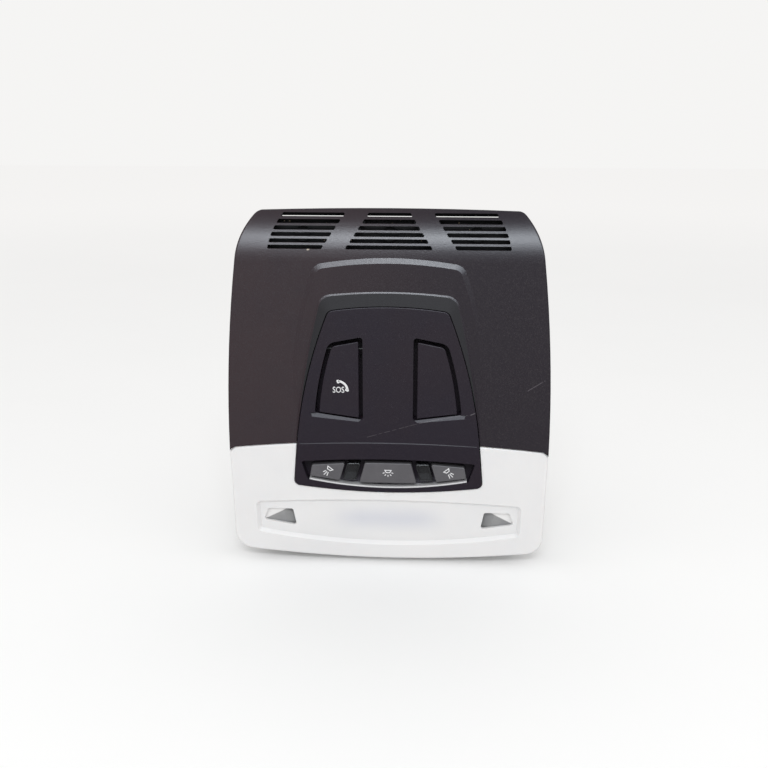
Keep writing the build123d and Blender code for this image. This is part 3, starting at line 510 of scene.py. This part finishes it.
# an arc band from one angle to another, in degrees
def addArc(bm, middle, radius, width, start, end):
    first = math.radians(start)
    edge = [bm.verts.new((middle[0] + r * math.cos(first), middle[1] + r * math.sin(first), 0))
            for r in (radius - width / 2, radius + width / 2)]
    line = bm.edges.new(edge)
    bmesh.ops.spin(bm, geom=[line, *edge], cent=(middle[0], middle[1], 0), axis=(0, 0, 1),
                   angle=math.radians(end - start), steps=arcSteps)


def markMaterial(look):
    mat, tree, shader = newMaterial("markPaint", look["shader"])
    noise = noiseOf(tree, objectCoords(tree), look["cells"], detail=2.0)
    tree.links.new(mixColour(tree, noise, look["base"], look["drift"]), shader["Base Color"])
    return mat


markLook = {"base": (0.78, 0.78, 0.79, 1), "drift": (0.62, 0.62, 0.63, 1), "cells": 1500.0,
            "shader": {"Roughness": 0.5}}
markPaint = markMaterial(markLook)

callMark = {
    "slope": 0.042553, "level": -38.202, "print": 0.06, "slot": "sos_plastic", "at": (-31.6, -4.4),
    "radius": 6.5, "band": 1.35, "arc": (6, 84),
    "earLength": 2.3, "earWidth": 1.7, "earInset": 0.35, "earLean": 0.5,
    "letters": "SOS", "letterSize": 5.5, "letterAt": (0.8, -1.15), "letterWidth": 0.78, "letterBold": 0.06,
    "letterSteps": 4,
}


def makeHandset(look):
    bm = bmesh.new()
    low, high = look["arc"]
    addArc(bm, (0, 0), look["radius"], look["band"], low, high)
    reach = look["radius"] - look["earInset"]
    for angle, lean in ((low, -look["earLean"]), (high, look["earLean"])):
        turn = math.radians(angle)
        middle = (reach * math.cos(turn), reach * math.sin(turn))
        addBar(bm, middle, look["earLength"], look["earWidth"], turn + math.pi / 2 + lean)
    finishMark(bm, "handsetMark", look, "flap")


def makeLetters(look):
    text = bpy.data.curves.new("callLetters", "FONT")
    text.body = look["letters"]
    text.size = look["letterSize"]
    text.offset = look["letterBold"]
    text.align_x = "CENTER"
    text.resolution_u = look["letterSteps"]
    holder = bpy.data.objects.new("callLetters", text)
    bpy.context.scene.collection.objects.link(holder)
    flat = bpy.data.meshes.new_from_object(holder)
    bpy.data.objects.remove(holder)
    bm = bmesh.new()
    bm.from_mesh(flat)
    bmesh.ops.scale(bm, vec=(look["letterWidth"], 1, 1), verts=bm.verts)
    bmesh.ops.translate(bm, vec=(*look["letterAt"], 0), verts=bm.verts)
    finishMark(bm, "callLetters", look, "flap")


makeHandset(callMark)
makeLetters(callMark)

keyFace = {"slope": 0.105104, "level": -40.504, "print": 0.06, "slot": "button_plastic"}
lampShape = {"topHalf": 2.5, "lowHalf": 1.25, "tall": 2.2, "line": 0.55, "rayWidth": 0.55, "rayFrom": 2.3,
             "rayHeart": 0.9}

# each ray has a lean in degrees and a length
leftLamp = {**keyFace, **lampShape, "at": (-38.2, -58.7), "turn": -40,
            "rays": [(-24, 2.4), (-2, 3.2), (20, 3.0)]}
centreLamp = {**keyFace, **lampShape, "at": (0.1, -60.0), "turn": 0,
              "rays": [(-72, 1.3), (-36, 1.3), (0, 1.3), (36, 1.3), (72, 1.3)]}
rightLamp = {**keyFace, **lampShape, "at": (38.6, -58.7), "turn": 40,
             "rays": [(-20, 3.0), (2, 3.2), (24, 2.4)]}


# a lamp bowl with rays below it, turned about its middle
def makeLamp(name, body, look):
    bm = bmesh.new()
    corners = [(-look["topHalf"], look["tall"]), (-look["lowHalf"], 0), (look["lowHalf"], 0),
               (look["topHalf"], look["tall"])]
    bowl = bm.faces.new([bm.verts.new((x, z, 0)) for x, z in corners])
    bm.normal_update()  # the inset follows the normal
    bmesh.ops.inset_region(bm, faces=[bowl], thickness=look["line"], use_even_offset=True, use_boundary=True)
    bmesh.ops.delete(bm, geom=[bowl], context="FACES_ONLY")
    for angle, length in look["rays"]:
        lean = math.radians(angle)
        reach = look["rayFrom"] + length / 2
        middle = (reach * math.sin(lean), look["rayHeart"] - reach * math.cos(lean))
        addBar(bm, middle, length, look["rayWidth"], lean)
    spin = Matrix.Rotation(math.radians(look["turn"]), 3, "Z")
    bmesh.ops.rotate(bm, cent=(0, 0, 0), matrix=spin, verts=bm.verts)
    finishMark(bm, name, look, body)


makeLamp("leftLampMark", "left_key", leftLamp)
makeLamp("centreLampMark", "centre_key", centreLamp)
makeLamp("rightLampMark", "right_key", rightLamp)
print("marks printed")


# painted shade: a near-black strip on the back rim, behind the upper part of the top slots, standing for the
# shade inside them
slotShadeLook = {
    "half": 72.0, "front": -18.85, "back": -18.05, "low": 101.55, "high": 104.8, "corner": 0.3,
    "base": (0.006, 0.006, 0.007, 1), "drift": (0.010, 0.010, 0.011, 1), "patches": 300.0, "cells": 4000.0,
    "gloss": (0.85, 0.95), "bump": 1.0, "shader": {"IOR": 1.45},
}


def makeSlotShadeStrip(look):
    bm = bmesh.new()
    bmesh.ops.create_cube(bm, size=1.0)
    size = (2 * look["half"], look["back"] - look["front"], look["high"] - look["low"])
    middle = (0, (look["back"] + look["front"]) / 2, (look["high"] + look["low"]) / 2)
    bmesh.ops.scale(bm, vec=size, verts=bm.verts)
    bmesh.ops.bevel(bm, geom=bm.edges[:], offset=look["corner"], offset_type="OFFSET", affect="EDGES",
                    segments=cornerSteps, profile=0.5, material=-1)
    bmesh.ops.translate(bm, vec=middle, verts=bm.verts)
    bmesh.ops.scale(bm, vec=(mm, mm, mm), verts=bm.verts)
    # the strip is near black so the top slots read as shaded inside
    piece = makeObject(bm, "slotShadeStrip", mouldedPlastic("slotShadeBlack", look))
    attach(piece, "console")


makeSlotShadeStrip(slotShadeLook)
print("slot shade strip set")


# floor, lights and camera
stageLook = {
    "floorHalf": 6.0, "floorDrop": 0.0035, "base": (0.91, 0.91, 0.91, 1), "drift": (0.90, 0.90, 0.90, 1),
    "patches": 2.0, "farTone": (0.985, 0.98, 0.98, 1), "farSpan": (0.6, 3.0),
    "inGloss": (0.30, 0.30, 0.31, 1), "shader": {"Roughness": 0.8, "Specular IOR Level": 0.0},
    "sky": (0.915, 0.91, 0.90, 1), "skyInGloss": (0.32, 0.325, 0.34, 1),
}


def makeFloor(look):
    bm = bmesh.new()
    bmesh.ops.create_grid(bm, x_segments=4, y_segments=4, size=look["floorHalf"])
    bmesh.ops.translate(bm, vec=(0, 0, cadBox[0][2] - look["floorDrop"]), verts=bm.verts)
    mat, tree, shader = newMaterial("floorPaper", look["shader"])
    reach = makeNode(tree, "VectorMath", {0: objectCoords(tree)}, operation="LENGTH").outputs["Value"]
    far = remap(tree, reach, *look["farSpan"])
    paper = mixColour(tree, far, driftOf(tree, look)["Colour"], look["farTone"])
    glossy = makeNode(tree, "LightPath").outputs["Is Glossy Ray"]
    tree.links.new(mixColour(tree, glossy, paper, look["inGloss"]), shader["Base Color"])
    floor = makeObject(bm, "studioFloor", mat)


# a bright room that reflects darker, as with black flags round the set
def makeSky(look):
    world = bpy.data.worlds.new("studioSky")
    world.use_nodes = True
    tree = world.node_tree
    glossy = makeNode(tree, "LightPath").outputs["Is Glossy Ray"]
    shade = mixColour(tree, glossy, look["sky"], look["skyInGloss"])
    tree.links.new(shade, tree.nodes["Background"].inputs["Color"])
    bpy.context.scene.world = world


frontLook = {"at": (0.03, -1.20, 0.93), "target": (0, 0, 0.05), "size": (0.62, 0.26), "power": 7.0,
             "tint": (0.95, 0.98, 1.0), "lightsAll": True}
glossLook = {"at": (0.20, -1.20, 0.93), "target": (0, 0, 0.05), "size": (2.6, 0.80), "power": 41.0,
             "tint": (0.82, 0.91, 1.0), "lightsAll": False}  # only for the sheen on bends and edges


def makeSoftbox(name, look):
    light = bpy.data.lights.new(name, "AREA")
    light.shape = "RECTANGLE"
    light.size, light.size_y = look["size"]
    light.energy = look["power"]
    light.color = look["tint"]
    holder = bpy.data.objects.new(name, light)
    holder.location = look["at"]
    aim = Vector(look["target"]) - Vector(look["at"])
    holder.rotation_euler = aim.to_track_quat("-Z", "Y").to_euler()
    holder.visible_diffuse = look["lightsAll"]
    bpy.context.scene.collection.objects.link(holder)


makeFloor(stageLook)
makeSky(stageLook)
makeSoftbox("frontSoftbox", frontLook)
makeSoftbox("glossStrip", glossLook)

cameraLook = {"at": (0.0247, -0.5736, 0.1543), "tilt": 16.0, "side": 2.9, "roll": 0.16, "lens": 42.19,
              "sensor": 36.0}


def makeCamera(look):
    tilt, side, roll = (math.radians(look[key]) for key in ("tilt", "side", "roll"))
    back = Vector((math.sin(side) * math.cos(tilt), -math.cos(side) * math.cos(tilt), math.sin(tilt)))
    right = Vector((math.cos(side), math.sin(side), 0))
    up = back.cross(right)
    rightRolled = right * math.cos(roll) + up * math.sin(roll)
    upRolled = up * math.cos(roll) - right * math.sin(roll)
    data = bpy.data.cameras.new("photoCamera")
    data.lens = look["lens"]
    data.sensor_width = look["sensor"]
    holder = bpy.data.objects.new("photoCamera", data)
    turn = Matrix((rightRolled, upRolled, back)).transposed().to_4x4()
    holder.matrix_world = Matrix.Translation(look["at"]) @ turn
    bpy.context.scene.collection.objects.link(holder)
    bpy.context.scene.camera = holder


makeCamera(cameraLook)
bpy.context.scene.view_settings.view_transform = "Standard"
print("stage set")
